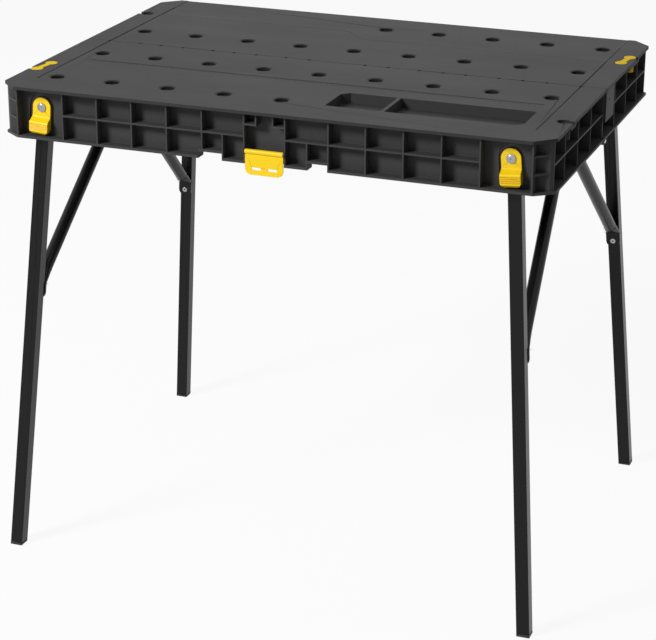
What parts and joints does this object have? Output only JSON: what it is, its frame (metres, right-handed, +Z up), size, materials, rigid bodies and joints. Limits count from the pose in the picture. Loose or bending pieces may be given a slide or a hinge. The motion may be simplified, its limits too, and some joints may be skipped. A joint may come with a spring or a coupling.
{
  "type": "portable workbench",
  "caption": "Folding workbench: two ribbed half tops hinged at the seam, splayed braced legs that fold inward, dog holes, tool tray, leg latches, hasp and links to join benches.",
  "frame": {"origin": "floor level, under the middle of the worktop", "axes": "+X along the seam to the right, -Y to the front, +Z up"},
  "size_m": [0.8558, 0.665, 0.747],
  "materials": {
    "top_plastic": "fine moulded grain",
    "apron_plastic": "moulded, matt",
    "leg_paint": "black powder coat, satin",
    "foot_plastic": "moulded, matt",
    "signal_plastic": "yellow, satin",
    "zinc": "zinc plated",
    "dark_steel": "blackened"
  },
  "bodies": {
    "front_half": {"front_deck": "top_plastic", "front_apron": "apron_plastic", "front_left_end_apron": "apron_plastic", "front_right_end_apron": "apron_plastic", "front_seam_wall": "apron_plastic", "front_left_axle": "zinc", "front_left_axle_brackets": "dark_steel", "front_left_latch_screw": "zinc", "front_left_latch_spring": "zinc", "front_right_axle": "zinc", "front_right_axle_brackets": "dark_steel", "front_right_latch_screw": "zinc", "front_right_latch_spring": "zinc", "hinge_pin": "zinc", "hasp_pin": "zinc"},
    "rear_half": {"rear_deck": "top_plastic", "rear_apron": "apron_plastic", "rear_left_end_apron": "apron_plastic", "rear_right_end_apron": "apron_plastic", "rear_seam_wall": "apron_plastic", "rear_right_axle": "zinc", "rear_right_axle_brackets": "dark_steel", "rear_right_latch_screw": "zinc", "rear_right_latch_spring": "zinc", "rear_left_axle": "zinc", "rear_left_axle_brackets": "dark_steel", "rear_left_latch_screw": "zinc", "rear_left_latch_spring": "zinc", "hasp_keeper": "dark_steel"},
    "front_left_leg": {"front_left_leg_tube": "leg_paint", "front_left_foot_cap": "foot_plastic", "front_left_brace": "leg_paint", "front_left_brace_rivet": "zinc"},
    "front_right_leg": {"front_right_leg_tube": "leg_paint", "front_right_foot_cap": "foot_plastic", "front_right_brace": "leg_paint", "front_right_brace_rivet": "zinc"},
    "rear_right_leg": {"rear_right_leg_tube": "leg_paint", "rear_right_foot_cap": "foot_plastic", "rear_right_brace": "leg_paint", "rear_right_brace_rivet": "zinc"},
    "rear_left_leg": {"rear_left_leg_tube": "leg_paint", "rear_left_foot_cap": "foot_plastic", "rear_left_brace": "leg_paint", "rear_left_brace_rivet": "zinc"},
    "front_left_latch": {"front_left_latch": "signal_plastic"},
    "front_right_latch": {"front_right_latch": "signal_plastic"},
    "rear_right_latch": {"rear_right_latch": "signal_plastic"},
    "rear_left_latch": {"rear_left_latch": "signal_plastic"},
    "hasp": {"hasp": "signal_plastic"},
    "front_left_link": {"front_left_link": "signal_plastic"},
    "rear_right_link": {"rear_right_link": "signal_plastic"}
  },
  "joints": [
    {"name": "case_close", "type": "hinge", "parent": "front_half", "child": "rear_half", "pos_m": [0, 0, 0.6667], "axis": [-1, 0, 0], "range_deg": [0, 45]},
    {"name": "front_left_leg_fold", "type": "hinge", "parent": "front_half", "child": "front_left_leg", "pos_m": [-0.36678, -0.26679, 0.709], "axis": [0, -0.9969, 0.0784], "range_deg": [0, 94.45]},
    {"name": "front_right_leg_fold", "type": "hinge", "parent": "front_half", "child": "front_right_leg", "pos_m": [0.36384, -0.26816, 0.6915], "axis": [0, 0.9969, -0.0784], "range_deg": [0, 94.45]},
    {"name": "rear_right_leg_fold", "type": "hinge", "parent": "rear_half", "child": "rear_right_leg", "pos_m": [0.36678, 0.26679, 0.709], "axis": [0, 0.9969, 0.0784], "range_deg": [0, 94.45]},
    {"name": "rear_left_leg_fold", "type": "hinge", "parent": "rear_half", "child": "rear_left_leg", "pos_m": [-0.36384, 0.26816, 0.6915], "axis": [0, -0.9969, -0.0784], "range_deg": [0, 94.45]},
    {"name": "front_left_latch_tip", "type": "hinge", "parent": "front_half", "child": "front_left_latch", "pos_m": [-0.3614, -0.2849, 0.7135], "axis": [-0.997, 0, 0.0779], "range_deg": [0, 6], "stiffness_Nm_per_rad": 0.5, "deforming": ["front_left_latch_spring"]},
    {"name": "front_right_latch_tip", "type": "hinge", "parent": "front_half", "child": "front_right_latch", "pos_m": [0.3614, -0.2849, 0.7135], "axis": [-0.997, 0, -0.0779], "range_deg": [0, 6], "stiffness_Nm_per_rad": 0.5, "deforming": ["front_right_latch_spring"]},
    {"name": "rear_right_latch_tip", "type": "hinge", "parent": "rear_half", "child": "rear_right_latch", "pos_m": [0.3614, 0.2849, 0.7135], "axis": [0.997, 0, 0.0779], "range_deg": [0, 6], "stiffness_Nm_per_rad": 0.5, "deforming": ["rear_right_latch_spring"]},
    {"name": "rear_left_latch_tip", "type": "hinge", "parent": "rear_half", "child": "rear_left_latch", "pos_m": [-0.3614, 0.2849, 0.7135], "axis": [0.997, 0, -0.0779], "range_deg": [0, 6], "stiffness_Nm_per_rad": 0.5, "deforming": ["rear_left_latch_spring"]},
    {"name": "hasp_swing", "type": "hinge", "parent": "front_half", "child": "hasp", "pos_m": [0, -0.2998, 0.686], "axis": [-1, 0, 0], "range_deg": [0, 150]},
    {"name": "front_left_link_lift", "type": "slide", "parent": "front_half", "child": "front_left_link", "axis": [0, 0, 1], "range_m": [0, 0.03]},
    {"name": "rear_right_link_lift", "type": "slide", "parent": "rear_half", "child": "rear_right_link", "axis": [0, 0, 1], "range_m": [0, 0.03]}
  ]
}
